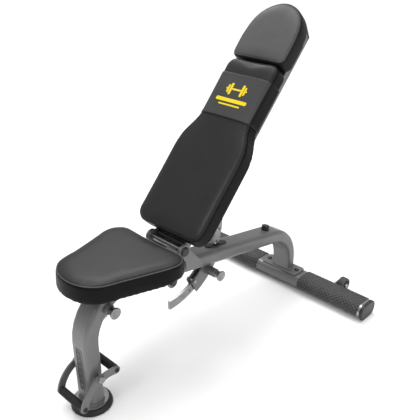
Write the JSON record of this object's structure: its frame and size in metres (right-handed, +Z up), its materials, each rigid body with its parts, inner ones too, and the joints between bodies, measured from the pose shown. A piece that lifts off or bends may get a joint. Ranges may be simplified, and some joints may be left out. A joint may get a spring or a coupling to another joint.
{
  "type": "adjustable weight bench",
  "caption": "Adjustable weight bench with a tilting back rest and head pad, a tilting tapered seat, a bent tube frame, a front foot handle and a rear stabiliser with transport wheels.",
  "frame": {"origin": "on the floor, at the middle of the round front foot's underside", "axes": "+Y runs back along the bench towards the stabiliser, +X to the side that has the pull knobs, +Z up"},
  "size_m": [0.7646, 1.1125, 1.0482],
  "materials": {
    "frame_paint": "satin grey powder coat",
    "black_paint": "satin black",
    "bright_steel": "zinc plated",
    "black_plastic": "matte",
    "black_rubber": "matte",
    "vinyl": "dark grey upholstery vinyl, soft sheen",
    "plywood": "raw plywood under a black cover"
  },
  "bodies": {
    "frame": {"main_tube": "frame_paint", "slot_bezel": "black_plastic", "beam_bumper": "black_rubber", "foot_rubber": "black_rubber", "foot_plate": "bright_steel", "handle_plate_right": "frame_paint", "handle_plate_left": "frame_paint", "handle_grip_lower": "black_rubber", "handle_grip_upper": "black_rubber", "handle_bolt": "black_paint", "stabiliser_tube": "frame_paint", "tread_right": "black_rubber", "tread_left": "black_rubber", "end_cap_right": "black_plastic", "end_cap_left": "black_plastic", "base_plate": "frame_paint", "base_bolt_right": "black_paint", "base_bolt_left": "black_paint", "wheel_tab_right": "frame_paint", "wheel_tab_left": "frame_paint", "wheel_axle_right": "bright_steel", "wheel_axle_left": "bright_steel", "hinge_bracket": "frame_paint", "back_axle": "bright_steel", "back_axle_cap_right": "black_plastic", "back_axle_cap_left": "black_plastic", "seat_axle": "bright_steel", "seat_axle_cap_right": "black_plastic", "seat_axle_cap_left": "black_plastic", "guide_plate_right": "frame_paint", "guide_plate_left": "frame_paint", "guide_bolt": "black_paint", "back_pin_housing": "black_plastic", "seat_pin_housing": "black_plastic"},
    "back_rest": {"back_cushion": "vinyl", "back_board": "plywood", "head_cushion": "vinyl", "head_board": "plywood", "back_rail_right": "frame_paint", "back_rail_left": "frame_paint", "rail_plug_right": "black_plastic", "rail_plug_left": "black_plastic", "back_arm_right": "black_paint", "back_arm_left": "black_paint", "pad_plate_low": "black_paint", "pad_plate_high": "black_paint", "back_cross_tube": "black_paint", "stop_bar": "black_paint", "arc_bar": "black_paint", "back_arc": "bright_steel"},
    "seat": {"seat_cushion": "vinyl", "seat_board": "plywood", "seat_bracket": "frame_paint", "seat_arc": "bright_steel"},
    "back_pull_pin": {"back_pin_rod": "bright_steel", "back_pin_knob": "frame_paint"},
    "seat_pull_pin": {"seat_pin_rod": "bright_steel", "seat_pin_knob": "frame_paint"},
    "wheel_right": {"wheel_right": "black_rubber"},
    "wheel_left": {"wheel_left": "black_rubber"}
  },
  "joints": [
    {"name": "back_tilt", "type": "hinge", "parent": "frame", "child": "back_rest", "pos_m": [0, 0.323, 0.411], "axis": [1, 0, 0], "range_deg": [-54, 28]},
    {"name": "seat_tilt", "type": "hinge", "parent": "frame", "child": "seat", "pos_m": [0, 0.273, 0.327], "axis": [-1, 0, 0], "range_deg": [0, 10]},
    {"name": "back_pin_pull", "type": "slide", "parent": "frame", "child": "back_pull_pin", "axis": [1, 0, 0], "range_m": [0, 0.012], "stiffness_N_per_m": 900, "springref_m": -0.006},
    {"name": "seat_pin_pull", "type": "slide", "parent": "frame", "child": "seat_pull_pin", "axis": [1, 0, 0], "range_m": [0, 0.012], "stiffness_N_per_m": 900, "springref_m": -0.006},
    {"name": "wheel_right_spin", "type": "hinge", "parent": "frame", "child": "wheel_right", "pos_m": [0.228, 1.008, 0.032], "axis": [1, 0, 0], "continuous": true},
    {"name": "wheel_left_spin", "type": "hinge", "parent": "frame", "child": "wheel_left", "pos_m": [-0.228, 1.008, 0.032], "axis": [1, 0, 0], "continuous": true}
  ]
}
